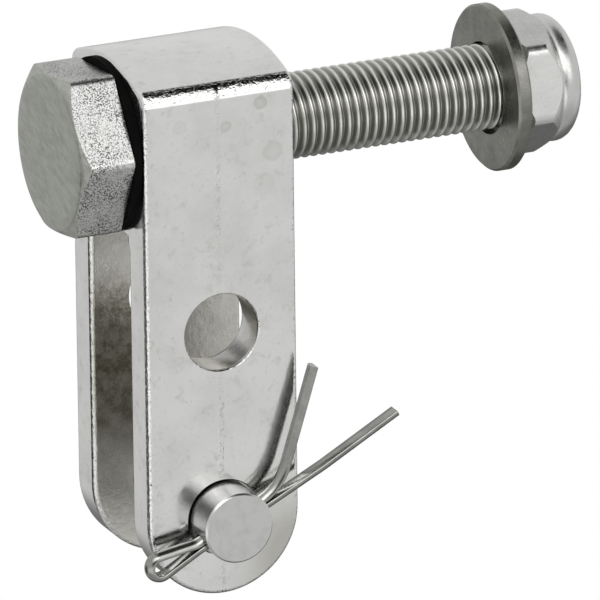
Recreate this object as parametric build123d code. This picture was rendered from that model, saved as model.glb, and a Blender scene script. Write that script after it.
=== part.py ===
from build123d import *
import os
from math import acos, atan2, cos, hypot, radians, sin, sqrt, tan

# Clevis rod end for a boat's steering link, in millimetres.
# The origin is the centre of the upper cross hole. X runs along the bolt towards its nut,
# Y runs through the ears from the cotter's side to the pin's head, and Z is up.

# Cast body
BODY_WIDTH = 17.8
BODY_DEPTH = 19.7
EAR_THICKNESS = 4.5
HOLE_PITCH = 21.2
BOLT_RISE = 19.9
SHOULDER_RISE = 27.7
CROWN_RISE = 29.65
SLOT_END_RISE = 10.9
SLOT_CORNER_RADIUS = 2.0
UPPER_HOLE_DIAMETER = 8.7
LOWER_HOLE_DIAMETER = 8.4
CROSS_HOLE_CHAMFER = 0.12
BOLT_HOLE_DIAMETER = 9.8
CROWN_EDGE_RADIUS = 1.8
EAR_EDGE_RADIUS = 0.55

# 3/8 in bolt with a heavy hexagon head
THREAD_DIAMETER = 9.525
THREAD_PITCH = 1.0583
THREAD_DEPTH = 0.6
THREAD_LENGTH = 32.0
HEAD_ACROSS_FLATS = 17.46
HEAD_HEIGHT = 5.95
HEAD_CHAMFER_ANGLE = 30
HEAD_TURN = 56
BOLT_LENGTH = 50.8
BOLT_POINT_CHAMFER = 0.8
HEAD_WASHER_THICKNESS = 0.87
HEAD_WASHER_DIAMETER = 19.2
HEAD_WASHER_BORE = 10.0
SEAT_CLEARANCE = 0.03

# Plain washer and thin nylon-insert lock nut
WASHER_FACE_X = 35.92
WASHER_THICKNESS = 1.65
WASHER_DIAMETER = 18.45
WASHER_BORE = 10.3
WASHER_CHAMFER = 0.25
WASHER_SAG = 0.18
NUT_ACROSS_FLATS = 14.1
NUT_HEX_HEIGHT = 4.75
NUT_HEIGHT = 7.6
NUT_BASE_CHAMFER_ANGLE = 45
NUT_TOP_CHAMFER_ANGLE = 57
NUT_COLLAR_DIAMETER = 14.1
NUT_COLLAR_ROUNDING = 1.8
NUT_MOUTH_DIAMETER = 10.4
NUT_BORE = THREAD_DIAMETER + 0.08
INSERT_LENGTH = 2.1
INSERT_DIAMETER = 11.8
INSERT_LIP = 0.6
NUT_TURN = 17

# 5/16 in clevis pin
PIN_DIAMETER = 7.94
PIN_FREE_END = 4.15
PIN_POINT_CHAMFER = 0.2
PIN_HEAD_DIAMETER = 11.1
PIN_HEAD_THICKNESS = 2.4
PIN_HEAD_CHAMFER = 0.5
PIN_HEAD_GAP = 0.35
COTTER_HOLE_DIAMETER = 2.1
COTTER_STAND_OFF = 2.05
COTTER_TURN = 27

# Split cotter bent from half-round wire
COTTER_WIRE_RADIUS = 0.9
COTTER_SPLIT = 0.09
COTTER_STRAIGHT_KNEE = (12.0, -0.17)
COTTER_STRAIGHT_TIP = (21.9, 0.19)
COTTER_BEND = 6.65
COTTER_BENT_TIP = (16.5, 10.1)
COTTER_EYE_CENTRE = (-9.35, 0.6)
COTTER_EYE_RADIUS = 0.86
COTTER_NECK = -4.7

HALF_WIDTH = BODY_WIDTH / 2
HALF_DEPTH = BODY_DEPTH / 2
SLOT_WIDTH = BODY_DEPTH - 2 * EAR_THICKNESS
HEAD_SEAT_X = -HALF_WIDTH - SEAT_CLEARANCE - HEAD_WASHER_THICKNESS
PIN_END_Y = -HALF_DEPTH - PIN_FREE_END
COTTER_Y = -HALF_DEPTH - COTTER_STAND_OFF


def along_x(x, y=0.0, z=BOLT_RISE):
    """Return a plane whose normal is the bolt's axis."""
    return Plane(origin=(x, y, z), x_dir=(0, 1, 0), z_dir=(1, 0, 0))


def along_y(y, z=0.0):
    """Return a plane whose normal runs through the ears."""
    return Plane(origin=(0, y, z), x_dir=(-1, 0, 0), z_dir=(0, 1, 0))


def rod(plane, diameter, length):
    """Return a solid cylinder that rises from a plane."""
    return extrude(plane * Circle(diameter / 2), length)


def ring(plane, outer, bore, length):
    """Return a washer or bush that rises from a plane."""
    return extrude(plane * (Circle(outer / 2) - Circle(bore / 2)), length)


def crown_profile():
    """Return the body's side outline: square below, a shallow arch on top."""
    base = -HOLE_PITCH - HALF_WIDTH
    outline = Polyline(
        (-HALF_DEPTH, SHOULDER_RISE),
        (-HALF_DEPTH, base),
        (HALF_DEPTH, base),
        (HALF_DEPTH, SHOULDER_RISE),
    )
    arch = ThreePointArc((HALF_DEPTH, SHOULDER_RISE), (0, CROWN_RISE), (-HALF_DEPTH, SHOULDER_RISE))
    return make_face(outline + arch)


def front_profile():
    """Return the body's front outline, with round ends on the ears."""
    height = CROWN_RISE + HOLE_PITCH + 1
    block = Pos(0, (CROWN_RISE + 1 - HOLE_PITCH) / 2) * Rectangle(BODY_WIDTH, height)
    return block + Pos(0, -HOLE_PITCH) * Circle(HALF_WIDTH)


def slot_profile():
    """Return the gap between the ears, with rounded inner corners."""
    depth = SLOT_END_RISE + HOLE_PITCH + BODY_WIDTH
    gap = Pos(0, SLOT_END_RISE - depth / 2) * Rectangle(SLOT_WIDTH, depth)
    corners = gap.vertices().group_by(Axis.Y)[-1]
    return fillet(corners, SLOT_CORNER_RADIUS)


def body_blank():
    """Return the outer form of the casting, arched on top and round at the ears."""
    side = extrude(along_x(-HALF_WIDTH, 0, 0) * crown_profile(), BODY_WIDTH)
    front = Plane(origin=(0, HALF_DEPTH, 0), x_dir=(1, 0, 0), z_dir=(0, -1, 0))
    blank = side & extrude(front * front_profile(), BODY_DEPTH)
    shoulders = blank.edges().filter_by(Axis.X).group_by(Axis.Z)[-1]
    return fillet(shoulders, CROWN_EDGE_RADIUS)


def clevis_body():
    """Return the casting: two drilled ears that a solid bridge joins."""
    blank = body_blank()
    slot = extrude(along_x(-BODY_WIDTH, 0, 0) * slot_profile(), 2 * BODY_WIDTH)
    body = blank - slot
    sides = body.faces().sort_by(Axis.X)
    rims = sides[0].edges() + sides[-1].edges()
    body = fillet(rims, EAR_EDGE_RADIUS)
    body -= cross_hole(0, UPPER_HOLE_DIAMETER)
    body -= cross_hole(-HOLE_PITCH, LOWER_HOLE_DIAMETER)
    return body - rod(along_x(-BODY_WIDTH), BOLT_HOLE_DIAMETER, 2 * BODY_WIDTH)


def cross_hole(level, diameter):
    """Return the cutter for one hole through both ears, with its countersinks."""
    cutter = rod(along_y(-BODY_DEPTH, level), diameter, 2 * BODY_DEPTH)
    mouth = diameter / 2 + CROSS_HOLE_CHAMFER
    cone = Cone(diameter / 2, mouth, CROSS_HOLE_CHAMFER, align=(Align.CENTER, Align.CENTER, Align.MIN))
    cutter += along_y(HALF_DEPTH - CROSS_HOLE_CHAMFER, level) * cone
    front = Plane(origin=(0, -HALF_DEPTH + CROSS_HOLE_CHAMFER, level), x_dir=(1, 0, 0), z_dir=(0, -1, 0))
    return cutter + front * cone


def hexagon_prism(x, across_flats, height, turn):
    """Return a hexagon bar along the bolt's axis, turned about it."""
    corner_radius = across_flats / sqrt(3)
    outline = Rot(0, 0, turn) * RegularPolygon(corner_radius, 6)
    return extrude(along_x(x) * outline, height)


def chamfer_envelope(x, across_flats, height, low_angle=0, high_angle=0):
    """Return the turned envelope that bevels a hexagon's corners, where an angle is given."""
    corner_radius = across_flats / sqrt(3) + 0.05
    face_radius = across_flats / 2 - 0.1
    far = x + height
    low = [(x, corner_radius)]
    high = [(far, corner_radius)]
    if low_angle:
        drop = (corner_radius - face_radius) * tan(radians(low_angle))
        low = [(x, face_radius), (x + drop, corner_radius)]
    if high_angle:
        drop = (corner_radius - face_radius) * tan(radians(high_angle))
        high = [(far - drop, corner_radius), (far, face_radius)]
    return turned((x, 0), *low, *high, (far, 0))


def turned(*points):
    """Return a solid turned about the bolt's axis from (x, radius) points."""
    profile = Plane.XZ * make_face(Polyline(*points, close=True))
    return Pos(0, 0, BOLT_RISE) * revolve(profile, Axis.X)


def thread_groove(x):
    """Return the cutter for one groove of the thread, which starts at x."""
    crest = THREAD_DIAMETER / 2
    rim = crest + 0.1
    root = crest - THREAD_DEPTH
    flare = THREAD_PITCH / 2 * (rim - root) / THREAD_DEPTH
    middle = x + THREAD_PITCH / 2
    return turned((middle - flare, rim), (middle, root), (middle + flare, rim))


def hex_bolt():
    """Return the bolt: a bevelled hexagon head on a shank with every second groove of its thread."""
    head_x = HEAD_SEAT_X - HEAD_HEIGHT
    head = hexagon_prism(head_x, HEAD_ACROSS_FLATS, HEAD_HEIGHT, HEAD_TURN)
    head &= chamfer_envelope(head_x, HEAD_ACROSS_FLATS, HEAD_HEIGHT, low_angle=HEAD_CHAMFER_ANGLE)
    shank = rod(along_x(HEAD_SEAT_X), THREAD_DIAMETER, BOLT_LENGTH)
    point = shank.edges().group_by(Axis.X)[-1]
    shank = chamfer(point, BOLT_POINT_CHAMFER)
    tip_x = HEAD_SEAT_X + BOLT_LENGTH
    spacing = 2 * THREAD_PITCH
    grooves = [thread_groove(tip_x - k * spacing) for k in range(1, int(THREAD_LENGTH / spacing) + 1)]
    return head + (shank - grooves)


def head_washer():
    """Return the thin nylon washer between the bolt's head and the body."""
    return ring(along_x(HEAD_SEAT_X), HEAD_WASHER_DIAMETER, HEAD_WASHER_BORE, HEAD_WASHER_THICKNESS)


def flat_washer():
    """Return the plain washer under the nut, hanging on the thread, with its edges eased."""
    face = along_x(WASHER_FACE_X, 0, BOLT_RISE - WASHER_SAG)
    washer = ring(face, WASHER_DIAMETER, WASHER_BORE, WASHER_THICKNESS)
    rims = washer.edges().filter_by(GeomType.CIRCLE).sort_by(SortBy.RADIUS)[-2:]
    return chamfer(rims, WASHER_CHAMFER)


def lock_nut():
    """Return the nut: a bevelled hexagon with a rolled collar over its insert."""
    base = WASHER_FACE_X + WASHER_THICKNESS
    body = hexagon_prism(base, NUT_ACROSS_FLATS, NUT_HEX_HEIGHT, NUT_TURN)
    angles = (NUT_BASE_CHAMFER_ANGLE, NUT_TOP_CHAMFER_ANGLE)
    body &= chamfer_envelope(base, NUT_ACROSS_FLATS, NUT_HEX_HEIGHT, *angles)
    collar = rod(along_x(base + NUT_HEX_HEIGHT), NUT_COLLAR_DIAMETER, NUT_HEIGHT - NUT_HEX_HEIGHT)
    crest = collar.edges().group_by(Axis.X)[-1]
    body += fillet(crest, NUT_COLLAR_ROUNDING)
    body -= rod(along_x(base - 1), NUT_BORE, NUT_HEIGHT + 2)
    body -= rod(along_x(insert_seat()), INSERT_DIAMETER, INSERT_LENGTH)
    return body - rod(along_x(insert_seat()), NUT_MOUTH_DIAMETER, NUT_HEIGHT)


def insert_seat():
    """Return where the nylon ring starts, under the collar's rolled lip."""
    return WASHER_FACE_X + WASHER_THICKNESS + NUT_HEIGHT - INSERT_LIP - INSERT_LENGTH


def nut_insert():
    """Return the nylon ring that the nut's collar holds."""
    return ring(along_x(insert_seat()), INSERT_DIAMETER, NUT_BORE, INSERT_LENGTH)


def cotter_frame():
    """Return the plane of the split cotter, turned as it lies in the pin."""
    turn = radians(COTTER_TURN)
    return Plane(
        origin=(0, COTTER_Y, -HOLE_PITCH),
        x_dir=(cos(turn), 0, sin(turn)),
        z_dir=(0, -1, 0),
    )


def clevis_pin():
    """Return the headed pin through the lower holes, drilled for its cotter."""
    length = HALF_DEPTH + PIN_HEAD_GAP - PIN_END_Y
    shank = rod(along_y(PIN_END_Y, -HOLE_PITCH), PIN_DIAMETER, length)
    point = shank.edges().group_by(Axis.Y)[0]
    shank = chamfer(point, PIN_POINT_CHAMFER)
    head = rod(along_y(HALF_DEPTH + PIN_HEAD_GAP, -HOLE_PITCH), PIN_HEAD_DIAMETER, PIN_HEAD_THICKNESS)
    crown = head.edges().group_by(Axis.Y)[-1]
    head = chamfer(crown, PIN_HEAD_CHAMFER)
    across = Plane(origin=cotter_frame().origin, z_dir=cotter_frame().x_dir)
    hole = extrude(across * Circle(COTTER_HOLE_DIAMETER / 2), PIN_DIAMETER, both=True)
    return shank + head - hole


def tangent_point(tip, centre, radius, side):
    """Return where a line from the tip touches the circle, on the given side."""
    dx = tip[0] - centre[0]
    dy = tip[1] - centre[1]
    turn = atan2(dy, dx) + side * acos(radius / hypot(dx, dy))
    return (centre[0] + radius * cos(turn), centre[1] + radius * sin(turn))


def cotter_path():
    """Return the flat side's line: up one leg, round the eye and out along the other."""
    gap = COTTER_SPLIT / 2
    low_neck = (COTTER_NECK, -gap)
    high_neck = (COTTER_NECK, gap)
    low = tangent_point(low_neck, COTTER_EYE_CENTRE, COTTER_EYE_RADIUS, -1)
    high = tangent_point(high_neck, COTTER_EYE_CENTRE, COTTER_EYE_RADIUS, 1)
    far = (COTTER_EYE_CENTRE[0] - COTTER_EYE_RADIUS, COTTER_EYE_CENTRE[1])
    straight = FilletPolyline(COTTER_STRAIGHT_TIP, COTTER_STRAIGHT_KNEE, low_neck, low, radius=(14, 3))
    eye = ThreePointArc(low, far, high)
    bent = FilletPolyline(high, high_neck, (COTTER_BEND, gap), COTTER_BENT_TIP, radius=(3, 6.5))
    return Wire(straight.edges() + eye.edges() + bent.edges())


def cotter_pin():
    """Return the split cotter: one half-round wire folded on itself."""
    path = cotter_path()
    along = path % 0
    start = Plane(origin=path @ 0, x_dir=(-along.Y, along.X, 0), z_dir=along)
    disc = Circle(COTTER_WIRE_RADIUS)
    half = disc & Pos(COTTER_WIRE_RADIUS, 0) * Rectangle(2 * COTTER_WIRE_RADIUS, 3 * COTTER_WIRE_RADIUS)
    wire = sweep(start * half, path=path)
    return cotter_frame() * wire


def save(name, shape):
    """Write one piece and print its volume, so that a broken solid shows."""
    export_step(shape, f"parts/{name}.step")
    print(name, round(shape.volume, 1), shape.is_valid)


def main():
    """Build every piece and write it to its own file."""
    os.makedirs("parts", exist_ok=True)
    save("clevis_body", clevis_body())
    save("hex_bolt", hex_bolt())
    save("head_washer", head_washer())
    save("flat_washer", flat_washer())
    save("lock_nut", lock_nut())
    save("nut_insert", nut_insert())
    save("clevis_pin", clevis_pin())
    save("cotter_pin", cotter_pin())


main()
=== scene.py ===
"""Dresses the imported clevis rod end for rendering.

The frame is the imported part's own: metres, X along the cross bolt, Y through the ears, Z up,
with the origin at the centre of the upper cross hole. Every length below is in millimetres
unless it says otherwise, and is scaled once, where it meets a mesh, a node or an object.
"""

import logging
import math
from dataclasses import dataclass, field
from enum import Enum
from typing import Iterable, Sequence

import bmesh
import bpy
from mathutils import Matrix, Vector


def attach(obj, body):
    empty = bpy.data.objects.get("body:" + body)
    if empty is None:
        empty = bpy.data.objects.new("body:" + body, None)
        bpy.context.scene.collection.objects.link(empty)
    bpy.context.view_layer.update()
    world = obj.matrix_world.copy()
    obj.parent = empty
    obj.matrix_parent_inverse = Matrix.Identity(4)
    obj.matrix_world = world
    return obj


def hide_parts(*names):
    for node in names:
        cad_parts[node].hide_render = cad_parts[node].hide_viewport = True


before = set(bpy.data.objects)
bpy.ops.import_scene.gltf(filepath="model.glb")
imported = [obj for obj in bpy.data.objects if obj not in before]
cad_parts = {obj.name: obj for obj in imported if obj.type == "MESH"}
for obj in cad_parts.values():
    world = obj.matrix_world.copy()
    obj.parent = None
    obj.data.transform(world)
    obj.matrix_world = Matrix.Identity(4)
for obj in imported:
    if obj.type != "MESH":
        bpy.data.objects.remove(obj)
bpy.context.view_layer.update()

LOG = logging.getLogger("clevis")
MM = 0.001
WELD = 1e-7
Point = tuple[float, float, float]
Flat = tuple[float, float]
Span = tuple[float, float]
Colour = tuple[float, float, float]
Socket = bpy.types.NodeSocket
Material = bpy.types.Material
Value = Socket | float | tuple | None

RISE: Span = (0.0, 1.0)
FADE: Span = (1.0, 0.0)


class Body(str, Enum):
    """The rigid bodies that a piece can ride on."""

    CLEVIS = "clevis"
    BOLT = "bolt"
    WASHER = "washer"
    NUT = "nut"
    PIN = "pin"


class Axis(int, Enum):
    """The axis that a finish follows."""

    X = 0
    Y = 1
    Z = 2


# ---------------------------------------------------------------- node trees


class Tree:
    """A thin wrapper that adds nodes to the tree of a material or a world."""

    def __init__(self, owner: bpy.types.ID) -> None:
        """Empty the owner's node tree.

        Args:
            owner: the material or the world.
        """
        owner.use_nodes = True
        self.tree = owner.node_tree
        self.tree.nodes.clear()

    def add(self, kind: str, inputs: dict, outlet: int | str = 0, **settings: object) -> Socket:
        """Add one node.

        Args:
            kind: the node's type, without its prefix.
            inputs: each input's value, or the socket that feeds it; None leaves it alone.
            outlet: the output to return.
            settings: the node's own properties.

        Returns:
            The output socket.
        """
        node = self.tree.nodes.new("ShaderNode" + kind)
        for name, setting in settings.items():
            setattr(node, name, setting)
        for key, value in inputs.items():
            if isinstance(value, Socket):
                self.tree.links.new(value, node.inputs[key])
            elif value is not None:
                node.inputs[key].default_value = value
        return node.outputs[outlet]

    def close(self, kind: str, shader: Socket) -> None:
        """Send a shader to the tree's output.

        Args:
            kind: the output node's type, without its prefix.
            shader: the shader's socket.
        """
        output = self.tree.nodes.new("ShaderNode" + kind)
        self.tree.links.new(shader, output.inputs[0])

    def split(self, vector: Socket) -> Sequence[Socket]:
        """Return a vector's parts.

        Args:
            vector: the vector's socket.

        Returns:
            The X, Y and Z sockets.
        """
        node = self.tree.nodes.new("ShaderNodeSeparateXYZ")
        self.tree.links.new(vector, node.inputs[0])
        return node.outputs

    def math(self, operation: str, a: Value, b: Value = None, clamp: bool = False) -> Socket:
        """Return the result of one Math node.

        Args:
            operation: the node's operation.
            a: the first number or socket.
            b: the second number or socket.
            clamp: whether the result stays between 0 and 1.

        Returns:
            The node's output socket.
        """
        return self.add("Math", {0: a, 1: b}, operation=operation, use_clamp=clamp)

    def times(self, first: Value, *others: Value) -> Socket:
        """Return the product of two or more numbers or sockets.

        Args:
            first: the first of them.
            others: what it is multiplied by.

        Returns:
            The product's socket.
        """
        for other in others:
            first = self.math("MULTIPLY", first, other)
        return first

    def ramp(self, value: Value, span: Span, to: Span = RISE, unit: float = 1.0) -> Socket:
        """Return a value mapped smoothly from one range to another.

        Args:
            value: the number or socket to map.
            span: the source range.
            to: the results at its two ends.
            unit: what the span is measured in.

        Returns:
            The mapped socket.
        """
        inputs = {"Value": value, "From Min": span[0] * unit, "From Max": span[1] * unit}
        inputs |= {"To Min": to[0], "To Max": to[1]}
        return self.add("MapRange", inputs, interpolation_type="SMOOTHSTEP")


@dataclass(frozen=True)
class Speckle:
    """A noise field turned into a mask.

    Attributes:
        grain: the noise's features to the metre, its octaves and its roughness.
        span: the noise values between which the mask changes.
        to: the mask at the two ends.
    """

    grain: Point
    span: Span
    to: Span = RISE


class Nodes(Tree):
    """The node tree of one material, with the fields that the finishes share."""

    def __init__(self, name: str) -> None:
        """Start an empty node material.

        Args:
            name: the material's name.
        """
        self.material = bpy.data.materials.new(name)
        super().__init__(self.material)
        self.coords = self.add("TexCoord", {}, "Object")
        self.place = self.split(self.coords)

    def facing(self, axis: Axis) -> Socket:
        """Return how squarely the surface faces an axis, from 0 to 1."""
        return self.math("ABSOLUTE", self.split(self.add("TexCoord", {}, "Normal"))[axis.value])

    def off_axis(self, axis: Axis, centre: Point) -> Socket:
        """Return the surface point's distance from a line, in metres.

        Args:
            axis: the line's direction.
            centre: a point of the line.

        Returns:
            The distance's socket.
        """
        squares = []
        for other in Axis:
            if other is not axis:
                offset = self.math("SUBTRACT", self.place[other.value], centre[other.value] * MM)
                squares.append(self.times(offset, offset))
        return self.math("SQRT", self.math("ADD", *squares))

    def stretched(self, stretch: Point, turn: Point) -> Socket:
        """Return coordinates whose features are drawn out along turned axes.

        Args:
            stretch: how many times longer a feature is along each turned axis.
            turn: the axes' rotation in degrees.

        Returns:
            The mapped vector socket.
        """
        angles = [math.radians(t) for t in turn]
        inputs = {"Vector": self.coords, "Rotation": angles, "Scale": stretch}
        return self.add("Mapping", inputs, vector_type="TEXTURE")

    def noise(self, scale: float, detail: float, roughness: float = 0.5, vector: Value = None) -> Socket:
        """Return a noise field.

        Args:
            scale: how many features there are in a metre.
            detail: the number of octaves.
            roughness: how much the fine octaves count.
            vector: coordinates other than the object's own.

        Returns:
            The noise factor socket.
        """
        inputs = {"Vector": vector or self.coords, "Scale": scale, "Detail": detail}
        return self.add("TexNoise", inputs | {"Roughness": roughness}, "Fac")

    def speckle(self, speckle: Speckle) -> Socket:
        """Return the mask that a speckle describes."""
        return self.ramp(self.noise(*speckle.grain), speckle.span, speckle.to)

    def mix(self, factor: Value, a: Value, b: Value) -> Socket:
        """Return a colour between two, as the factor says.

        Args:
            factor: 0 gives the first colour and 1 the second.
            a: the first colour or socket.
            b: the second colour or socket.

        Returns:
            The mixed colour socket.
        """
        a, b = ((*c, 1.0) if isinstance(c, tuple) else c for c in (a, b))
        return self.add("Mix", {0: factor, 6: a, 7: b}, 2, data_type="RGBA")

    def bump(self, height: Socket, depth: float, after: Value = None) -> Socket:
        """Return a normal disturbed by a height field.

        Args:
            height: the height field, 0 to 1.
            depth: the height of 1.
            after: a normal to disturb further.

        Returns:
            The normal socket.
        """
        inputs = {"Strength": 1.0, "Distance": depth * MM, "Height": height, "Normal": after}
        return self.add("Bump", inputs)

    def varied(self, noise: Socket, roughness: float) -> Socket:
        """Return a roughness that varies a little with a noise field."""
        return self.ramp(noise, (0.3, 0.7), (roughness * 0.85, roughness * 1.2))

    def finish(self, **inputs: Value) -> Material:
        """Feed the shader's inputs and return the material.

        Args:
            inputs: the shader's input names, with an underscore for a space.

        Returns:
            The finished material.
        """
        named = {name.replace("_", " "): value for name, value in inputs.items()}
        self.close("OutputMaterial", self.add("BsdfPrincipled", named))
        return self.material

    def metal(self, tone: Socket, roughness: Value, normal: Socket) -> Material:
        """Return the material as a metal of a tone, a roughness and a normal."""
        return self.finish(Base_Color=tone, Metallic=1.0, Roughness=roughness, Normal=normal)


# ---------------------------------------------------------------- finishes


@dataclass(frozen=True)
class Stain:
    """A faint round water mark on the front of the casting.

    Attributes:
        x, z: its middle, across and upwards.
        strength: how far it darkens the plate.
        full: the share of the radius from which it falls away.
        ring: the share of the radius at which it is darkest.
        heart: how dark its middle is beside that.
    """

    x: float
    z: float
    radius: float
    strength: float
    full: float = 0.75
    ring: float = 0.9
    heart: float = 0.45

    def mask(self, n: Nodes, wobble: Socket) -> Socket:
        """Return where the mark shows.

        Args:
            n: the material's nodes.
            wobble: what is added to the distance from its middle.

        Returns:
            The mask socket.
        """
        away = n.math("ADD", n.off_axis(Axis.Y, (self.x, 0.0, self.z)), wobble)
        disc = n.ramp(away, (self.full * self.radius, self.radius), FADE, MM)
        heart = n.ramp(away, (0.0, self.ring * self.radius), (self.heart, 1.0), MM)
        return n.times(disc, heart, self.strength)


@dataclass(frozen=True)
class PlatedCasting:
    """Nickel plate over a cast and linished body, with a faint parting line.

    A pair of lengths is where a mask starts to change and where it ends. A pair for a rim is
    how squarely the surface faces an axis at those two places.

    Attributes:
        edge_shine: the share of the roughness that a rounded rim lacks.
        outside: the distances from the middle plane at which the outer faces start.
        front: the depths at which the front face ends.
        between: the distances from the middle plane at which the ears' inner faces end.
        slot: the heights at which they end.
        rolled: the heights between which the front rolls back to the crown.
        roll: how far it rolls back.
        painted_shade_centre: the middle of the painted shade in the front's lower corner, across and
            upwards.
        crust_shade_foot: the heights over which the crusty, shaded patches thin out, downwards.
        crust_shade_side: the places across, over which they thin out.
        crust_shade_left: how much of them is left at the foot, and at the side.
        gloss: the mottle between which the roughness changes.
        gloss_swing: the shares of the roughness at those two.
        seam_least: how much of the parting line shows in its breaks.
        crown: the heights at which the crown's own rim starts.
        dark_top: the heights at which the painted dark reflection along the side rims ends.
    """

    name: str = "plated_casting"
    light: Colour = (0.775, 0.772, 0.768)
    cloudy: Colour = (0.70, 0.697, 0.69)
    stain: Colour = (0.52, 0.515, 0.48)
    # near-black, used for the real flecks and nicks on the rims and for the painted dark reflection
    # along the side rims
    fleck_and_dark_reflection: Colour = (0.06, 0.06, 0.055)
    # painted shade between the ears: the inner faces are darker than the front, and the brown patches
    # below are partly real crusting and partly painted shade
    inside: Colour = (0.67, 0.66, 0.62)
    crust_and_shade: Colour = (0.24, 0.225, 0.17)
    roughness: float = 0.15
    inside_roughness: float = 0.36
    edge_shine: float = 0.35
    gloss: Span = (0.3, 0.8)
    gloss_swing: Span = (0.8, 1.5)
    outside: Span = (9.35, 9.83)
    front: Span = (-9.80, -9.70)
    between: Span = (5.36, 5.56)
    slot: Span = (11.0, 11.1)
    rolled: Span = (26.2, 27.2)
    roll: float = 0.14
    clouds: Speckle = Speckle((150, 4, 0.6), (0.35, 0.7))
    blotches: Span = (0.55, 0.75)
    blotch_strength: float = 0.35
    specks: Speckle = Speckle((2600, 2, 0.5), (0.60, 0.72), (0.0, 0.22))
    # painted shade: the front darkens towards its lower corner, in the stain colour
    painted_shade_centre: Flat = (9.2, -27.0)
    painted_shade_radius: float = 9.5
    painted_shade_strength: float = 1.5
    stain_wobble: float = 0.8
    stains: Sequence[Stain] = (
        Stain(4.9, 25.5, 0.85, 0.62), Stain(0.8, 23.3, 0.75, 0.5), Stain(6.3, 19.8, 1.3, 0.34),
        Stain(-4.6, 23.9, 0.9, 0.18), Stain(1.6, 20.9, 0.6, 0.2), Stain(5.2, 16.2, 1.5, 0.16),
        Stain(6.2, -19.4, 0.8, 0.25), Stain(-6.6, -1.5, 1.2, 0.14),
    )
    crust_shade_wander: float = 8.0
    crust_shade_top: Span = (3.0, 7.5)
    crust_shade_foot: Span = (-18.0, -12.0)
    crust_shade_side: Span = (-3.5, -1.5)
    crust_shade_left: Flat = (0.1, 0.25)
    crust_shade_patches: Speckle = Speckle((700, 5, 0.75), (0.36, 0.64), (0.4, 1.0))
    seam_width: Span = (0.2, 0.33)
    seam_wander: float = 0.4
    seam_height: float = 0.042
    seam_strength: float = 0.4
    seam_least: float = 0.12
    seam_gaps: Speckle = Speckle((2100, 3, 0.7), (0.5, 0.62))
    seam_runs: Speckle = Speckle((120, 2, 0.5), (0.42, 0.6), (0.15, 1.0))
    seam_nicks: Speckle = Speckle((1500, 2, 0.5), (0.45, 0.6))
    side_rim: Span = (0.04, 0.14)
    arch_rim: Span = (0.40, 0.5)
    front_rim: Span = (0.975, 0.996)
    dark_rim: Span = (0.70, 0.93)
    crown: Span = (27.6, 27.9)
    dark_top: Span = (26.5, 26.8)
    dark_breaks: Speckle = Speckle((1900, 3, 0.7), (0.36, 0.52), (0.35, 1.0))
    dark_strength: float = 0.85
    rim_flecks: Speckle = Speckle((3300, 2.5, 0.6), (0.62, 0.67), (0.0, 0.7))
    rim_wave: float = 0.1
    swell: float = 0.022
    pores: float = 0.06
    grain: float = 0.0032

    def rims(self, n: Nodes) -> Socket:
        """Return 1 on the rounded rims between the front, the sides and the crown.

        Args:
            n: the material\'s nodes.

        Returns:
            The mask socket.
        """
        across = n.facing(Axis.Y)
        crown = n.ramp(n.place[2], self.crown, unit=MM)
        arch = n.times(crown, n.ramp(across, self.arch_rim, FADE))
        start = n.times(n.ramp(across, self.side_rim), n.math("SUBTRACT", 1.0, arch))
        return n.times(start, n.ramp(across, self.front_rim, FADE))

    def marks(self, n: Nodes) -> Socket:
        """Return the mask of the water marks and of the painted shade in the lower corner.

        Args:
            n: the material\'s nodes.

        Returns:
            The mask socket.
        """
        uneven = n.math("SUBTRACT", n.noise(900, 3), 0.5)
        wobble = n.times(uneven, self.stain_wobble * MM)
        # painted shade that darkens the front towards its lower corner
        x, z = self.painted_shade_centre
        away = n.off_axis(Axis.Y, (x, 0.0, z))
        total = n.ramp(away, (0.0, self.painted_shade_radius), (self.painted_shade_strength, 0.0), MM)
        for stain in self.stains:
            total = n.math("ADD", total, stain.mask(n, wobble))
        return n.times(total, n.ramp(n.place[1], self.front, FADE, MM))

    def crust_and_shade_mask(self, n: Nodes) -> Socket:
        """Return the mask of the dark, crusty patches between the ears, partly real crusting and partly
        painted shade.

        Args:
            n: the material\'s nodes.

        Returns:
            The mask socket.
        """
        x, _, z = n.place
        stray = n.times(n.noise(300, 4, 0.7), self.crust_shade_wander * MM)
        top = n.ramp(n.math("ADD", z, stray), self.crust_shade_top, FADE, MM)
        at_foot, at_side = self.crust_shade_left
        foot = n.ramp(z, self.crust_shade_foot, (at_foot, 1.0), MM)
        side = n.ramp(x, self.crust_shade_side, (1.0, at_side), MM)
        return n.times(top, foot, n.speckle(self.crust_shade_patches), side)

    def seam(self, n: Nodes) -> Socket:
        """Return the mask of the parting line, before it is broken up.

        Args:
            n: the material\'s nodes.

        Returns:
            The mask socket.
        """
        stray = n.times(n.noise(260, 2), self.seam_wander * MM)
        off = n.math("ABSOLUTE", n.math("ADD", n.place[0], stray))
        return n.ramp(off, self.seam_width, FADE, MM)

    def build(self) -> Material:
        """Return the plated material."""
        n = Nodes(self.name)
        z, depth = n.place[2], n.math("ABSOLUTE", n.place[1])
        outside = n.ramp(depth, self.outside, unit=MM)
        deep = n.times(n.ramp(depth, self.between, FADE, MM), n.ramp(z, self.slot, FADE, MM))
        rim, line, mottle = self.rims(n), self.seam(n), n.noise(650, 3, 0.6)
        broken = n.times(n.speckle(self.seam_gaps), n.speckle(self.seam_runs))
        ridge = n.times(line, outside, n.math("ADD", broken, self.seam_least, clamp=True))

        tone = n.mix(n.speckle(self.clouds), self.light, self.cloudy)
        tone = n.mix(n.ramp(mottle, self.blotches, (0.0, self.blotch_strength)), tone, self.stain)
        tone = n.mix(n.speckle(self.specks), tone, self.stain)
        # real water marks, and the painted shade in the lower corner, both in the stain colour
        tone = n.mix(self.marks(n), tone, self.stain)
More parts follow.
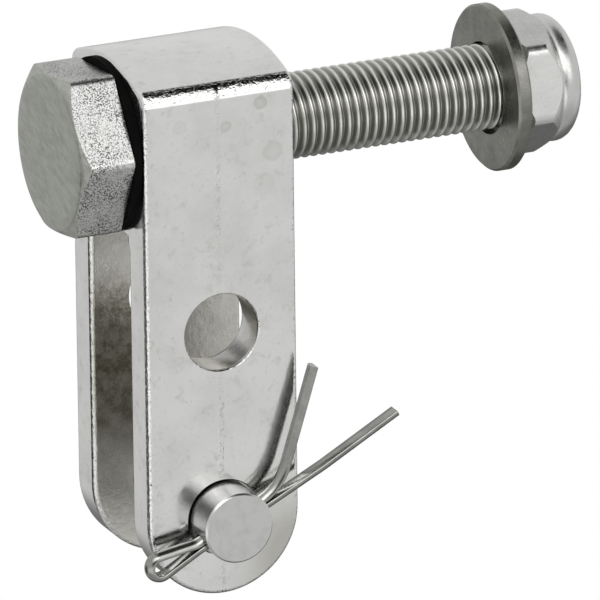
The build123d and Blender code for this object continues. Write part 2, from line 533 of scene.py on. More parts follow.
        # painted shade in the slot: the inner faces darken, with brown patches that are partly real
        # crusting and partly painted shade
        tone = n.mix(deep, tone, n.mix(self.crust_and_shade_mask(n), self.inside, self.crust_and_shade))
        tone = n.mix(n.times(ridge, self.seam_strength), tone, self.stain)
        # painted reflection: a dark, broken line along the rounded side rims, below the crown
        dark = n.times(n.ramp(n.facing(Axis.X), self.dark_rim), n.ramp(z, self.dark_top, FADE, MM))
        dark = n.times(dark, rim, n.speckle(self.dark_breaks), self.dark_strength)
        tone = n.mix(dark, tone, self.fleck_and_dark_reflection)
        flecks = n.times(n.speckle(self.rim_flecks), rim)
        nicks = n.times(line, rim, n.speckle(self.seam_nicks))
        tone = n.mix(n.math("MAXIMUM", flecks, nicks), tone, self.fleck_and_dark_reflection)

        normal = n.bump(n.times(n.ramp(z, self.rolled, FADE, MM), outside), self.roll)
        normal = n.bump(n.noise(420, 3, 0.55), self.swell, normal)
        wave = n.times(n.math("SUBTRACT", n.noise(2500, 2.5, 0.65), 0.5), rim)
        normal = n.bump(wave, self.rim_wave, normal)
        normal = n.bump(n.times(n.noise(1300, 4, 0.7), deep), self.pores, normal)
        normal = n.bump(n.noise(5200, 2, 0.6), self.grain, normal)
        normal = n.bump(ridge, self.seam_height, normal)

        smooth = n.ramp(mottle, self.gloss, [self.roughness * share for share in self.gloss_swing])
        smooth = n.times(smooth, n.math("SUBTRACT", 1.0, n.times(rim, self.edge_shine)))
        extra = n.times(deep, self.inside_roughness - self.roughness)
        return n.metal(tone, n.math("ADD", smooth, extra), normal)


@dataclass(frozen=True)
class ScratchedEnd:
    """The end of the bolt's head: matt steel with coarse slanting scratches.

    Attributes:
        slant: the fine scratches' angle, in degrees.
        cross: how much less the coarse ones slant.
        fine_share: how much the fine ones count beside the coarse ones.
        contrast: the scratches' heights between which dark turns to light.
    """

    name: str = "scratched_end"
    light: Colour = (0.62, 0.635, 0.59)
    dark: Colour = (0.41, 0.42, 0.38)
    roughness: float = 0.42
    slant: float = 28.0
    cross: float = 14.0
    fine_share: float = 0.55
    contrast: Span = (0.38, 0.62)
    clouds: Speckle = Speckle((260, 3, 0.6), (0.35, 0.75), (0.0, 0.45))
    depth: float = 0.05

    def build(self) -> Material:
        """Return the scratched material."""
        n = Nodes(self.name)
        along = n.stretched((1.0, 9.0, 1.0), (self.slant, 0, 0))
        across = n.stretched((1.0, 3.0, 1.0), (self.slant - self.cross, 0, 0))
        fine = n.times(n.noise(5600, 3, 0.65, along), self.fine_share)
        coarse = n.times(n.noise(1500, 4, 0.6, across), 1.0 - self.fine_share)
        marks = n.math("ADD", fine, coarse)
        tone = n.mix(n.ramp(marks, self.contrast), self.dark, self.light)
        tone = n.mix(n.speckle(self.clouds), tone, self.light)
        return n.metal(tone, n.varied(marks, self.roughness), n.bump(marks, self.depth))


@dataclass(frozen=True)
class PittedSteel:
    """The head's side facets: steel with a fine sparkling grain.

    Attributes:
        pits: the grain's heights between which a pit starts.
        patches: how thickly the pits lie.
        upward: how squarely a facet faces up, where the painted shade starts.
        upward_shade_strength: how dark the painted shade makes it.
    """

    name: str = "pitted_steel"
    light: Colour = (0.68, 0.68, 0.67)
    # the darker tone of the painted shade on facets that face up or down
    upward_shade: Colour = (0.36, 0.36, 0.35)
    dark: Colour = (0.05, 0.05, 0.05)
    roughness: float = 0.3
    pits: Span = (0.46, 0.6)
    patches: Speckle = Speckle((300, 3, 0.6), (0.3, 0.62), (0.4, 0.95))
    upward: Span = (0.85, 0.97)
    upward_shade_strength: float = 0.5
    depth: float = 0.012

    def build(self) -> Material:
        """Return the grained material."""
        n = Nodes(self.name)
        grain = n.noise(6000, 1.5, 0.6)
        pitted = n.times(n.ramp(grain, self.pits), n.speckle(self.patches))
        # painted shade: facets that face straight up or down take the darker tone
        upward = n.ramp(n.facing(Axis.Z), self.upward, (0.0, self.upward_shade_strength))
        tone = n.mix(pitted, n.mix(upward, self.light, self.upward_shade), self.dark)
        return n.metal(tone, self.roughness, n.bump(grain, self.depth))


@dataclass(frozen=True)
class PlainSteel:
    """Steel with a soft mottle and a fine grain, for the plain washer and the nut.

    Attributes:
        mottle: how many blotches there are in a metre.
        grain: how many grains there are in a metre.
        depth: the grain's height.
    """

    name: str
    light: Colour
    dark: Colour
    roughness: float
    mottle: float
    grain: float = 3500.0
    depth: float = 0.012

    def build(self) -> Material:
        """Return the steel material."""
        n = Nodes(self.name)
        grain = n.noise(self.grain, 2, 0.6)
        tone = n.mix(n.ramp(n.noise(self.mottle, 4, 0.6), (0.3, 0.7)), self.light, self.dark)
        return n.metal(tone, n.varied(grain, self.roughness), n.bump(grain, self.depth))


@dataclass(frozen=True)
class WireSteel:
    """The cotter's drawn wire, with painted shade on the side that faces the casting.

    Attributes:
        middle: the depth of the wire's centre line.
        behind: the distances behind it, over which the painted shade comes in.
        shading: how dark the painted shade makes the wire.
    """

    name: str = "cotter_wire"
    light: Colour = (0.39, 0.39, 0.375)
    dark: Colour = (0.28, 0.28, 0.27)
    shaded: Colour = (0.10, 0.10, 0.095)
    middle: float = -11.9
    behind: Span = (0.1, 0.7)
    shading: float = 0.8
    roughness: float = 0.2
    mottle: Speckle = Speckle((500, 4, 0.6), (0.3, 0.7))
    depth: float = 0.004

    def build(self) -> Material:
        """Return the wire's material."""
        n = Nodes(self.name)
        tone = n.mix(n.speckle(self.mottle), self.light, self.dark)
        start, end = (self.middle + offset for offset in self.behind)
        # painted shade: the wire darkens behind its centre line, on the side towards the casting
        tone = n.mix(n.ramp(n.place[1], (start, end), (0.0, self.shading), MM), tone, self.shaded)
        return n.metal(tone, self.roughness, n.bump(n.noise(3000, 2), self.depth))


@dataclass(frozen=True)
class ThreadSteel:
    """The bolt's rolled thread: painted highlight on the crests and painted shade in the roots.

    Attributes:
        flank: the radii between which the root's painted shade turns to the crest's painted highlight.
        crest_unevenness: how bright the crests' painted highlight is from place to place.
    """

    axis_height: float
    name: str = "thread_steel"
    crest: Colour = (0.80, 0.80, 0.76)
    root: Colour = (0.32, 0.32, 0.30)
    roughness: float = 0.28
    flank: Span = (4.44, 4.72)
    crest_unevenness: Speckle = Speckle((500, 4, 0.6), (0.3, 0.7), (1.0, 0.8))
    depth: float = 0.005

    def build(self) -> Material:
        """Return the thread's material."""
        n = Nodes(self.name)
        radius = n.off_axis(Axis.X, (0.0, 0.0, self.axis_height))
        height = n.times(n.ramp(radius, self.flank, unit=MM), n.speckle(self.crest_unevenness))
        # painted shade in the roots and painted highlight on the crests, by distance from the axis
        tone = n.mix(height, self.root, self.crest)
        return n.metal(tone, self.roughness, n.bump(n.noise(3500, 2), self.depth))


@dataclass(frozen=True)
class TurnedSteel:
    """Steel with the fine rings of a lathe round one axis.

    Attributes:
        axis: the lathe's axis.
        barrel: the colour of the sides, a painted shade darker than the end.
        rings: how many rings there are in a metre.
        ring_strength: how far a ring's groove darkens.
        endwise: how squarely the surface faces the axis, where the sides turn to the end.
    """

    name: str
    axis: Axis
    centre: Point
    light: Colour = (0.64, 0.64, 0.635)
    dark: Colour = (0.54, 0.54, 0.535)
    barrel: Colour = (0.47, 0.47, 0.465)
    roughness: float = 0.26
    rings: float = 5200.0
    wobble: float = 0.12
    ring_strength: float = 0.3
    ring_depth: float = 0.005
    endwise: Span = (0.3, 0.8)
    mottle: Speckle = Speckle((700, 4, 0.6), (0.4, 0.7), (0.0, 0.7))
    depth: float = 0.008

    def build(self) -> Material:
        """Return the turned material."""
        n = Nodes(self.name)
        stray = n.times(n.noise(600, 2), self.wobble * MM)
        radius = n.math("ADD", n.off_axis(self.axis, self.centre), stray)
        wave = n.math("SINE", n.times(radius, self.rings * 2 * math.pi))
        ring = n.math("ADD", n.times(wave, 0.5), 0.5)
        tone = n.mix(n.speckle(self.mottle), self.light, self.dark)
        tone = n.mix(n.times(ring, self.ring_strength), tone, self.dark)
        # painted shade: the pin's sides take the darker barrel colour, and its end the lighter turned
        # tone
        tone = n.mix(n.ramp(n.facing(self.axis), self.endwise, FADE), tone, self.barrel)
        normal = n.bump(n.noise(2600, 3, 0.6), self.depth, n.bump(ring, self.ring_depth))
        return n.metal(tone, self.roughness, normal)


@dataclass(frozen=True)
class Nylon:
    """A plain moulded nylon."""

    name: str
    light: Colour
    dark: Colour
    roughness: float
    shine: float = 0.5
    depth: float = 0.01

    def build(self) -> Material:
        """Return the nylon material."""
        n = Nodes(self.name)
        tone = n.mix(n.noise(400, 3), self.light, self.dark)
        normal = n.bump(n.noise(2500, 2), self.depth)
        look = {"Roughness": self.roughness, "Specular_IOR_Level": self.shine}
        return n.finish(Base_Color=tone, Normal=normal, **look)


# ---------------------------------------------------------------- meshes


def make_object(name: str, rows: Sequence[Sequence[Point]], materials: Sequence[Material],
                slots: Sequence[int] = (), sharp: float = 32.0, caps: bool = False) -> bpy.types.Object:
    """Join rings of points into one closed-round skin.

    Args:
        name: the object's name.
        rows: rings with the same number of points, in millimetres.
        materials: the materials that the skin uses.
        slots: the material's index for each band between two rings, or nothing for the first.
        sharp: the angle in degrees over which an edge stays sharp.
        caps: whether the first and last ring are closed by a face.

    Returns:
        The new object, linked to the scene.
    """
    count = len(rows[0])
    points = [Vector(p) * MM for row in rows for p in row]
    slots = slots or [0] * (len(rows) - 1)
    faces, indices = [], []
    for band, slot in enumerate(slots):
        low, high = band * count, (band + 1) * count
        for k in range(count):
            after = (k + 1) % count
            faces.append((low + k, low + after, high + after, high + k))
            indices.append(slot)
    if caps:
        faces.append(tuple(range(count)))
        faces.append(tuple(reversed(range(len(points) - count, len(points)))))
        indices += [slots[0], slots[-1]]
    return finish_mesh(name, points, faces, materials, indices, sharp)


def finish_mesh(name: str, points: Iterable[Vector], faces: Iterable[Sequence[int]],
                materials: Sequence[Material], indices: Sequence[int],
                sharp: float) -> bpy.types.Object:
    """Turn points and faces into a shaded object.

    Args:
        name: the object's name.
        points: the corners, in metres.
        faces: the corner indices of each face.
        materials: the materials that the faces use.
        indices: the material's index for each face.
        sharp: the angle in degrees over which an edge stays sharp.

    Returns:
        The new object, linked to the scene.
    """
    mesh = bpy.data.meshes.new(name)
    mesh.from_pydata([tuple(p) for p in points], [], [tuple(f) for f in faces])
    for material in materials:
        mesh.materials.append(material)
    for polygon, index in zip(mesh.polygons, indices):
        polygon.material_index = index
    work = bmesh.new()
    work.from_mesh(mesh)
    bmesh.ops.remove_doubles(work, verts=work.verts, dist=WELD)
    bmesh.ops.dissolve_degenerate(work, edges=work.edges, dist=WELD)
    bmesh.ops.recalc_face_normals(work, faces=work.faces)
    for face in work.faces:
        face.smooth = True
    limit = math.radians(sharp)
    for edge in work.edges:
        if len(edge.link_faces) == 2:
            edge.smooth = edge.calc_face_angle(0.0) < limit
    work.to_mesh(mesh)
    work.free()
    piece = bpy.data.objects.new(name, mesh)
    bpy.context.scene.collection.objects.link(piece)
    return piece


def around_x(x: float, radius: float, angle: float, height: float) -> Point:
    """Return a point at a radius and an angle about an axis along X.

    Args:
        x: the place along the axis.
        radius: the distance from it.
        angle: the angle from +Y towards +Z, in radians.
        height: the axis's height.

    Returns:
        The point, in millimetres.
    """
    return (x, radius * math.cos(angle), height + radius * math.sin(angle))


def towards(start: Sequence[float], end: Sequence[float], share: float) -> list[float]:
    """Return numbers on the way from one list to another.

    Args:
        start: the numbers at a share of 0.
        end: the numbers at a share of 1.
        share: how far along they are.

    Returns:
        The numbers between.
    """
    return [a + (b - a) * share for a, b in zip(start, end)]


@dataclass(frozen=True)
class Hexagon:
    """A hexagon with eased corners.

    Attributes:
        across_flats: the distance between two flats.
        turn: the angle of one corner, in degrees.
        ease: the length taken off a sharp corner.
        per_side: the number of steps along one side.
        blend: the length over which a corner is eased.
        crowding: how far the steps crowd towards the corners, from 0 to 1.
    """

    across_flats: float
    turn: float
    ease: float
    per_side: int
    blend: float = 0.06
    crowding: float = 0.72

    def angles(self) -> list[float]:
        """Return the angle, in radians, of each step round the hexagon."""
        angles = []
        for side in range(6):
            for step in range(self.per_side):
                share = step / self.per_side
                eased = 0.5 - 0.5 * math.cos(math.pi * share)
                share += (eased - share) * self.crowding
                angles.append(math.radians(self.turn) + math.pi / 3 * (side + share))
        return angles

    def radius(self, angle: float) -> float:
        """Return the hexagon's radius at an angle.

        Args:
            angle: the angle, in radians.

        Returns:
            The radius, in millimetres.
        """
        sixth = math.pi / 3
        local = (angle - math.radians(self.turn)) % sixth - sixth / 2
        radius = self.across_flats / 2 / math.cos(local)
        limit = self.across_flats / math.sqrt(3) - self.ease - self.blend
        if radius <= limit:
            return radius
        return limit + self.blend * (1 - math.exp((limit - radius) / self.blend))


@dataclass
class RingSkin:
    """A skin of rings about an axis along X.

    Attributes:
        angles: the angle of each of a ring's points, in radians.
        height: the axis's height.
        rows: the rings so far.
        slots: the finish of the band before each ring.
    """

    angles: Sequence[float]
    height: float
    rows: list[list[Point]] = field(default_factory=list)
    slots: list[int] = field(default_factory=list)

    def ring(self, x: float | Sequence[float], radius: float | Sequence[float], slot: int = 0) -> None:
        """Add one ring.

        Args:
            x: the ring's place along the axis, or each point's own.
            radius: the ring's radius, or each point's own.
            slot: the finish of the band between the last ring and this one.
        """
        count = len(self.angles)
        xs, radii = ([v] * count if isinstance(v, float) else v for v in (x, radius))
        points = zip(xs, radii, self.angles)
        self.rows.append([around_x(px, r, angle, self.height) for px, r, angle in points])
        self.slots.append(slot)

    def build(self, name: str, materials: Sequence[Material], sharp: float) -> bpy.types.Object:
        """Join the rings.

        Args:
            name: the object's name.
            materials: the materials that the bands use.
            sharp: the angle in degrees over which an edge stays sharp.

        Returns:
            The new object, linked to the scene.
        """
        return make_object(name, self.rows, materials, self.slots[1:], sharp)


def dress(node: str, material: Material) -> None:
    """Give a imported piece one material.

    Args:
        node: the piece's name.
        material: its material.
    """
    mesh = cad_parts[node].data
    mesh.materials.clear()
    mesh.materials.append(material)


# ---------------------------------------------------------------- pieces


@dataclass
class ClevisCasting:
    """The cast body, which keeps its own solid."""

    finish: PlatedCasting = field(default_factory=PlatedCasting)

    def build(self) -> None:
        """Dress the casting."""
        dress("clevis_body", self.finish.build())


@dataclass
class HexBolt:
    """The cross bolt: a bevelled head, and a shank with its whole thread. The profile of one turn
    of thread is in shares of the pitch and of the depth, and angles are in degrees.
    """

    axis_height: float = 19.9
    seat_x: float = -9.8
    head_height: float = 5.95
    hexagon: Hexagon = Hexagon(across_flats=17.46, turn=56.0, ease=0.14, per_side=28)
    face_radius: float = 8.60
    bevel: float = 30.0
    edge_ease: float = 0.12
    face_drop: float = 0.02
    flat_draw: float = 0.05
    side_shares: Sequence[float] = (0.33, 0.66, 1.0)
    face_shares: Sequence[float] = (1.0, 0.85, 0.6, 0.35, 0.12, 0.0)
    length: float = 50.8
    major_radius: float = 4.74
    thread_depth: float = 0.63
    pitch: float = 1.0583
    phase: float = 0.5
    point_bevel: float = 0.8
    steps: int = 72
    profile: Sequence[Flat] = (
        (0.0, 0.02), (0.04, 0.0), (0.09, 0.0), (0.13, 0.03), (0.2, 0.16), (0.34, 0.56),
        (0.49, 0.95), (0.54, 1.0), (0.6, 1.0), (0.65, 0.95), (0.79, 0.55), (0.93, 0.15),
    )

    def build(self) -> None:
        """Make the head and the threaded shank in place of the plain bolt."""
        head, shank = self.head(), self.shank()
        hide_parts("hex_bolt")
        for piece in (head, shank):
            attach(piece, Body.BOLT.value)

    def head(self) -> bpy.types.Object:
        """Return the head, bevelled where its corners meet its end."""
        end, side, bevel = range(3)
        skin = RingSkin(self.hexagon.angles(), self.axis_height)
        front = self.seat_x - self.head_height
        slope = math.tan(math.radians(self.bevel))
        rim = [self.hexagon.radius(angle) for angle in skin.angles]
        under_x = [self.seat_x - self.edge_ease] * len(rim)
        face_x = [front + self.face_drop] * len(rim)
        bevel_x = [x + max(0.0, r - self.face_radius) * slope for x, r in zip(face_x, rim)]
        face_rim = [self.face_radius if r > self.face_radius else r - self.flat_draw for r in rim]

        skin.ring(self.seat_x, self.major_radius)
        skin.ring(self.seat_x, [r - self.edge_ease for r in rim], side)
        skin.ring(under_x, rim, side)
        for share in self.side_shares:
            skin.ring(towards(under_x, bevel_x, share), rim, side)
        for share in (0.5, 1.0):
            skin.ring(towards(bevel_x, face_x, share), towards(rim, face_rim, share), bevel)
        for share in self.face_shares:
            skin.ring(front, (self.face_radius - self.edge_ease) * share, end)
        finishes = [
            ScratchedEnd().build(),
            PittedSteel().build(),
            # painted shade: the bevel's copy of the end finish is a little darker than the end
            ScratchedEnd("scratched_bevel_painted_shade", light=(0.58, 0.59, 0.55), dark=(0.40, 0.41, 0.375)).build(),
        ]
        return skin.build("bolt_head", finishes, sharp=34)

    def shank(self) -> bpy.types.Object:
        """Return the shank, as one skin that follows the helix."""
        start, end = self.seat_x, self.seat_x + self.length
        spare_turns = 3
        lines = (int(self.length / self.pitch) + spare_turns) * len(self.profile) + 1
        points: list[Vector] = []
        for line in range(lines):
            turn, place = divmod(line, len(self.profile))
            share, depth = self.profile[place]
            base = start + (turn + share - 1 - self.phase) * self.pitch
            for step in range(self.steps + 1):
                x = base + self.pitch * step / self.steps
                past_bevel = max(0.0, x - (end - self.point_bevel))
                radius = self.major_radius - max(self.thread_depth * depth, past_bevel)
                angle = 2 * math.pi * step / self.steps
                point = around_x(min(max(x, start), end), radius, angle, self.axis_height)
                points.append(Vector(point) * MM)
        row = self.steps + 1
        faces = []
        for line in range(lines - 1):
            for step in range(self.steps):
                a = line * row + step
                faces.append((a, a + 1, a + row + 1, a + row))
        tip, last = len(points), (lines - 1) * row
        points.append(Vector(around_x(end, 0.0, 0.0, self.axis_height)) * MM)
        for step in range(self.steps):
            faces.append((tip, last + step, last + step + 1))
        finish = ThreadSteel(axis_height=self.axis_height).build()
        return finish_mesh("bolt_thread", points, faces, [finish], [0] * len(faces), sharp=60)


@dataclass
class Washers:
    """The black washer under the head and the plain washer under the nut."""

    black: Nylon = Nylon("black_nylon", (0.006, 0.006, 0.006), (0.002, 0.002, 0.002), 0.7, 0.03)
    plain: PlainSteel = PlainSteel("tumbled_steel", (0.29, 0.29, 0.265), (0.19, 0.19, 0.17), 0.32, 260)

    def build(self) -> None:
        """Dress both washers."""
        dress("head_washer", self.black.build())
        dress("flat_washer", self.plain.build())


@dataclass
class LockNut:
    """The thin lock nut, with a rolled collar that holds a nylon ring. The collar
    is an outline of places above the underside and of radii, and angles are in degrees.
    """

    axis_height: float = 19.9
    base_x: float = 37.57
    hexagon: Hexagon = Hexagon(across_flats=14.1, turn=17.0, ease=0.2, per_side=24)
    hex_height: float = 4.72
    bore_radius: float = 4.80
    bore_depth: float = 5.0
    bore_ease: float = 0.3
    edge_ease: float = 0.1
    low_bevel: float = 45.0
    high_bevel: float = 57.0
    side_shares: Sequence[float] = (0.0, 0.3, 0.6, 1.0)
    neck_shares: Sequence[float] = (0.35, 0.7, 1.0)
    neck_step: float = 0.18
    neck_curve: float = 0.85
    collar: Sequence[Flat] = (
        (4.78, 6.86), (4.86, 6.84), (4.98, 6.93), (5.15, 7.0), (5.45, 7.05),
        (5.8, 7.05), (6.15, 6.97), (6.5, 6.8), (6.85, 6.5), (7.15, 6.12),
        (7.38, 5.72), (7.52, 5.4), (7.56, 5.25), (7.5, 5.15), (7.2, 5.1),
    )
    steel: PlainSteel = PlainSteel(
        "nut_steel", (0.66, 0.66, 0.65), (0.59, 0.59, 0.58), 0.3, 240, grain=2200, depth=0.006
    )
    ring: Nylon = Nylon("white_nylon", (0.82, 0.82, 0.78), (0.72, 0.72, 0.68), 0.4)

    def build(self) -> None:
        """Make the nut in place of its solid, and dress the nylon ring."""
        skin = RingSkin(self.hexagon.angles(), self.axis_height)
        base, flat = self.base_x, self.hexagon.across_flats / 2
        rim = [self.hexagon.radius(angle) for angle in skin.angles]
        past_flat = [max(0.0, r - flat) for r in rim]
        low_slope, high_slope = (math.tan(math.radians(a)) for a in (self.low_bevel, self.high_bevel))
        low = [base + self.edge_ease + p * low_slope for p in past_flat]
        high = [base + self.hex_height - self.edge_ease - p * high_slope for p in past_flat]
        neck_x, neck = [base + self.hex_height] * len(rim), [flat - self.neck_step] * len(rim)

        skin.ring(base + self.bore_depth, self.bore_radius)
        skin.ring(base + self.bore_ease, self.bore_radius)
        skin.ring(base, self.bore_radius + self.bore_ease)
        skin.ring(base, flat - self.edge_ease)
        for share in self.side_shares:
            skin.ring(towards(low, high, share), rim)
        for share in self.neck_shares:
            skin.ring(towards(high, neck_x, share ** self.neck_curve), towards(rim, neck, share))
        for x, radius in self.collar:
            skin.ring(base + x, radius)
        nut = skin.build("lock_nut_shell", [self.steel.build()], sharp=20)
        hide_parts("lock_nut")
        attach(nut, Body.NUT.value)
        dress("nut_insert", self.ring.build())


@dataclass
class ClevisPin:
    """The headed pin through the lower holes."""

    finish: TurnedSteel = TurnedSteel("turned_pin", Axis.Y, (0.0, 0.0, -21.2))

    def build(self) -> None:
        """Dress the pin."""
        dress("clevis_pin", self.finish.build())


@dataclass
class SplitCotter:
    """The split cotter: half-round wire, folded at the eye, with its legs spread.

    Its places are along the pin's cross hole and square to it.
    """

    plane_y: float = -11.9
    centre_z: float = -21.2
    turn: float = 27.0
    wire_radius: float = 0.9
    split: float = 0.09
    straight_tip: Flat = (21.9, 0.19)
    straight_knee: Flat = (12.0, -0.17)
    bend: float = 6.65
    bent_tip: Flat = (16.5, 10.1)
    eye: Flat = (-9.35, 0.6)
    eye_radius: float = 0.86
    neck: float = -4.7
    edge_ease: float = 0.16
    edge_steps: Sequence[Flat] = ((0.0, 1.0), (0.19, 0.5), (0.56, 0.22))
    arc_steps: int = 16
    eye_steps: int = 32
    leg_radii: Flat = (14.0, 3.0)
    bent_radii: Flat = (3.0, 6.5)

    def build(self) -> None:
        """Make the wire in place of its solid."""
        line, section = self.centre_line(), self.section()
        rows = []
        for index, (u, w) in enumerate(line):
            back, ahead = line[max(0, index - 1)], line[min(len(line) - 1, index + 1)]
            du, dw = ahead[0] - back[0], ahead[1] - back[1]
            size = math.hypot(du, dw)
            side_u, side_w = -dw / size, du / size
            rows.append([self.place(u + side_u * out, w + side_w * out, s) for out, s in section])
        finish = WireSteel(middle=self.plane_y).build()
        wire = make_object("cotter_wire", rows, [finish], sharp=60, caps=True)
        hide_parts("cotter_pin")
        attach(wire, Body.PIN.value)

    def section(self) -> list[Flat]:
        """Return the half-round section: how far out of the flat side, and how far across it."""
        r, e = self.wire_radius, self.edge_ease
        turns = [math.pi * k / self.arc_steps for k in range(1, self.arc_steps)]
        arc = [(r * math.sin(t), r * math.cos(t)) for t in turns]
        edge = [(e * out, r - e * inward) for out, inward in self.edge_steps]
        return edge + arc + [(out, -across) for out, across in reversed(edge)] + [(0.0, 0.0)]

    def place(self, u: float, w: float, across: float) -> Point:
        """Return a point of the cotter's own plane.

        Args:
            u: the distance along the pin's cross hole.
            w: the distance square to it, upwards.
            across: the distance through the wire's width.

        Returns:
            The point in the part's frame, in millimetres.
        """
        c, s = math.cos(math.radians(self.turn)), math.sin(math.radians(self.turn))
        return (u * c - w * s, self.plane_y + across, self.centre_z + u * s + w * c)

    def centre_line(self) -> list[Flat]:
        """Return the flat side's line, from the straight leg's end to the bent leg's."""
        gap = self.split / 2
        low_neck, high_neck = (self.neck, -gap), (self.neck, gap)
        start, end = self.touching(low_neck, -1), self.touching(high_neck, 1)
        end -= 2 * math.pi * (end > start)
        steps = self.eye_steps
        loop = [self.on_eye(start + (end - start) * k / steps) for k in range(steps + 1)]
        first = rounded([self.straight_tip, self.straight_knee, low_neck, loop[0]], self.leg_radii)
        last = rounded([loop[-1], high_neck, (self.bend, gap), self.bent_tip], self.bent_radii)
        return first + loop[1:-1] + last

    def on_eye(self, angle: float) -> Flat:
        """Return a point of the eye.

        Args:
            angle: its angle, in radians.

        Returns:
            The point in the cotter's own plane.
        """
        u, w = self.eye
        return (u + self.eye_radius * math.cos(angle), w + self.eye_radius * math.sin(angle))

    def touching(self, point: Flat, side: int) -> float:
        """Return where a line from a point touches the eye.

        Args:
            point: the line's start.
            side: 1 for the upper side and -1 for the lower.

        Returns:
            The touching point's angle, from minus to plus half a turn, in radians.
        """
        du, dw = point[0] - self.eye[0], point[1] - self.eye[1]
        turn = math.atan2(dw, du) + side * math.acos(self.eye_radius / math.hypot(du, dw))
        return math.atan2(math.sin(turn), math.cos(turn))


def rounded(corners: Sequence[Flat], radii: Sequence[float], step: float = 0.35) -> list[Flat]:
    """Return a path of straight runs with an arc at each inner corner.

    Args:
        corners: the path's corners.
        radii: the arc's radius at each inner corner.
        step: about the length of a step along an arc, and half of that along a run.

    Returns:
        The points along the path.
    """
    path = [Vector(corners[0]).to_2d()]

    def run_to(target: Vector) -> None:
        """Add even steps up to a point."""
        gap = target - path[-1]
        count = max(1, int(gap.length / (step * 2)))
        origin = path[-1].copy()
        path.extend(origin + gap * (k / count) for k in range(1, count + 1))

    for index, radius in enumerate(radii, start=1):
        before, corner, after = (Vector(corners[index + k]).to_2d() for k in (-1, 0, 1))
        inward, outward = (before - corner).normalized(), (after - corner).normalized()
        half = inward.angle(outward) / 2
        trim = radius / math.tan(half)
        start, end = corner + inward * trim, corner + outward * trim
        centre = corner + (inward + outward).normalized() * (radius / math.sin(half))
        run_to(start)
        first, last = start - centre, end - centre
        turn = math.atan2(first.x * last.y - first.y * last.x, first.dot(last))
        count = max(3, int(abs(turn) * radius / step))
        for k in range(1, count + 1):
            c, s = math.cos(turn * k / count), math.sin(turn * k / count)
            path.append(centre + Vector((first.x * c - first.y * s, first.x * s + first.y * c)))
    run_to(Vector(corners[-1]).to_2d())
    return [(p.x, p.y) for p in path]


# ---------------------------------------------------------------- studio


@dataclass(frozen=True)
class Patch:
    """A soft patch of the studio.

    Attributes:
        towards: the direction of its middle.
        inner: the angle in degrees up to which it is full.
        outer: the angle in degrees from which it is gone.
        tone: its brightness.
        band: the heights, as sines, between which it stays, or None for a round patch.
    """

    towards: Point
    inner: float
    outer: float
    tone: float
    band: Span | None = None

    def mask(self, tree: Tree, direction: Socket, height: Socket) -> Socket:
        """Return where the patch shows.

        Args:
            tree: the world's nodes.
            direction: the direction looked in.
            height: its height, as a sine.

        Returns:
            The mask socket.
        """
        outside, inside = 0.07, 0.03
        inputs = {0: direction, 1: Vector(self.towards).normalized()}
        dot = tree.add("VectorMath", inputs, "Value", operation="DOT_PRODUCT")
        span = [math.cos(math.radians(angle)) for angle in (self.outer, self.inner)]
        mask = tree.ramp(dot, span)
        if self.band:
            low, high = self.band
            mask = tree.times(mask, tree.ramp(height, (low - outside, low + inside)))
            mask = tree.times(mask, tree.ramp(height, (high - inside, high + outside), FADE))
        return mask


@dataclass
class Surroundings:
    """What the metal mirrors: the brightness of the studio in every direction.

    Attributes:
        wall: the brightness low on the walls.
        upper_wall: the brightness high on them.
        wall_rise: the heights between those, as sines.
        floor: the brightness straight down.
        floor_fall: the heights over which the wall turns to floor, as sines.
        patches: the lamps and dark screens.
    """

    tint: tuple[float, float, float, float] = (1.0, 1.0, 0.99, 1.0)
    wall: float = 0.76
    upper_wall: float = 0.79
    wall_rise: Span = (-0.3, 0.2)
    floor: float = 0.52
    floor_fall: Span = (-0.42, -0.8)
    patches: Sequence[Patch] = (
        Patch((-0.38, 0.86, -0.33), 25, 60, 0.68),
        Patch((0.34, 0.55, -0.76), 22, 48, 0.15),
        Patch((0.0, -0.74, 0.67), 36, 46, 1.95, (0.52, 0.86)),
        Patch((0.38, -0.86, 0.34), 12, 20, 1.7, (0.22, 0.60)),
        Patch((-0.70, -0.63, -0.33), 30, 36, 1.3, (-0.52, -0.14)),
        Patch((-0.802, 0.501, -0.33), 19, 26, 0.12, (-0.62, -0.05)),
        Patch((0.38, -0.12, 0.91), 19, 36, 0.0),
        Patch((-0.30, -0.89, 0.30), 15, 24, 0.10),
    )

    def build(self, tree: Tree) -> Socket:
        """Return the brightness in every direction.

        Args:
            tree: the world's nodes.

        Returns:
            The brightness socket.
        """
        direction = tree.add("TexCoord", {}, "Generated")
        height = tree.split(direction)[2]
        layers = [
            (tree.ramp(height, self.wall_rise), self.upper_wall),
            (tree.ramp(height, self.floor_fall), self.floor),
        ]
        layers += [(patch.mask(tree, direction, height), patch.tone) for patch in self.patches]
        result: Value = self.wall
        for mask, tone in layers:
            result = tree.add("Mix", {0: mask, 2: result, 3: tone}, data_type="FLOAT")
        return result


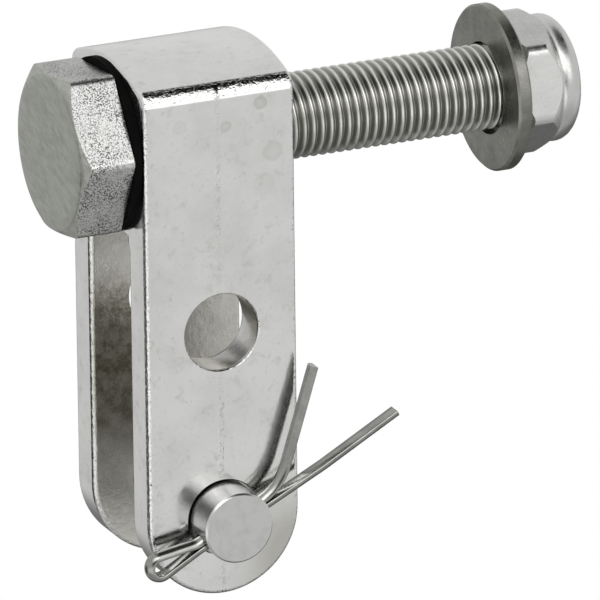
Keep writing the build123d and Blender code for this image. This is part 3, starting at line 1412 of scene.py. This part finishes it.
@dataclass
class Studio:
    """The floor, the soft light, the surroundings and the camera."""

    surroundings: Surroundings = field(default_factory=Surroundings)
    floor_height: float = -46.0
    floor_half: float = 3.0
    floor_tone: tuple[float, float, float, float] = (0.86, 0.86, 0.86, 1.0)
    lamp_place: Point = (-120.0, -420.0, 330.0)
    lamp_size: float = 300.0
    lamp_power: float = 0.5
    eye: Point = (-536.06, -1240.68, 468.98)
    right: Point = (0.9126712, -0.40854617, -0.01101439)
    up: Point = (0.14332868, 0.29471784, 0.9447742)
    lens: float = 789.7
    sensor: float = 36.0
    clip: Span = (0.05, 20.0)

    def build(self) -> None:
        """Make the whole studio."""
        self.world()
        self.floor()
        self.lamp()
        self.camera()

    def world(self) -> None:
        """Make the world: white to the camera, and a plain studio to the metal."""
        world = bpy.data.worlds.new("studio")
        bpy.context.scene.world = world
        tree = Tree(world)
        seen = tree.add("Background", {0: (1.0, 1.0, 1.0, 1.0), 1: 1.0})
        mirrored = tree.add("Background", {0: self.surroundings.tint, 1: self.surroundings.build(tree)})
        to_camera = tree.add("LightPath", {}, "Is Camera Ray")
        tree.close("OutputWorld", tree.add("MixShader", {0: to_camera, 1: mirrored, 2: seen}))

    def floor(self) -> None:
        """Make the plain floor: white to the camera, and clear to the metal."""
        mesh = bpy.data.meshes.new("floor")
        h, z = self.floor_half, self.floor_height * MM
        mesh.from_pydata([(-h, -h, z), (h, -h, z), (h, h, z), (-h, h, z)], [], [(0, 1, 2, 3)])
        material = bpy.data.materials.new("floor_paper")
        tree = Tree(material)
        paper = tree.add("BsdfDiffuse", {0: self.floor_tone})
        white, clear = tree.add("Emission", {}), tree.add("BsdfTransparent", {})
        to_camera = tree.add("LightPath", {}, "Is Camera Ray")
        to_metal = tree.add("LightPath", {}, "Is Glossy Ray")
        plain = tree.add("MixShader", {0: to_camera, 1: paper, 2: white})
        tree.close("OutputMaterial", tree.add("MixShader", {0: to_metal, 1: plain, 2: clear}))
        mesh.materials.append(material)
        floor = bpy.data.objects.new("floor", mesh)
        bpy.context.scene.collection.objects.link(floor)

    def lamp(self) -> None:
        """Make one soft lamp in front and above."""
        data = bpy.data.lights.new("key", "AREA")
        data.shape = "SQUARE"
        data.size = self.lamp_size * MM
        data.energy = self.lamp_power
        lamp = bpy.data.objects.new("key", data)
        lamp.location = Vector(self.lamp_place) * MM
        lamp.rotation_euler = (-Vector(self.lamp_place)).to_track_quat("-Z", "Y").to_euler()
        bpy.context.scene.collection.objects.link(lamp)

    def camera(self) -> None:
        """Make the camera."""
        data = bpy.data.cameras.new("camera")
        data.sensor_width = self.sensor
        data.lens = self.lens
        data.clip_start, data.clip_end = self.clip
        camera = bpy.data.objects.new("camera", data)
        right, up = Vector(self.right).normalized(), Vector(self.up).normalized()
        back = right.cross(up).normalized()
        up = back.cross(right).normalized()
        rotation = Matrix((right, up, back)).transposed().to_4x4()
        camera.matrix_world = Matrix.Translation(Vector(self.eye) * MM) @ rotation
        bpy.context.scene.collection.objects.link(camera)
        bpy.context.scene.camera = camera


# ---------------------------------------------------------------- the part


def main() -> None:
    """Build and dress every piece in order, then the studio."""
    logging.basicConfig(level=logging.INFO, format="%(name)s: %(message)s")
    scene = bpy.context.scene
    scene.view_settings.view_transform = "Standard"
    for piece in (ClevisCasting(), HexBolt(), Washers(), LockNut(), ClevisPin(), SplitCotter()):
        piece.build()
        LOG.info("built %s", type(piece).__name__)
    Studio().build()
    LOG.info("built Studio")


if __name__ == "__main__":
    main()
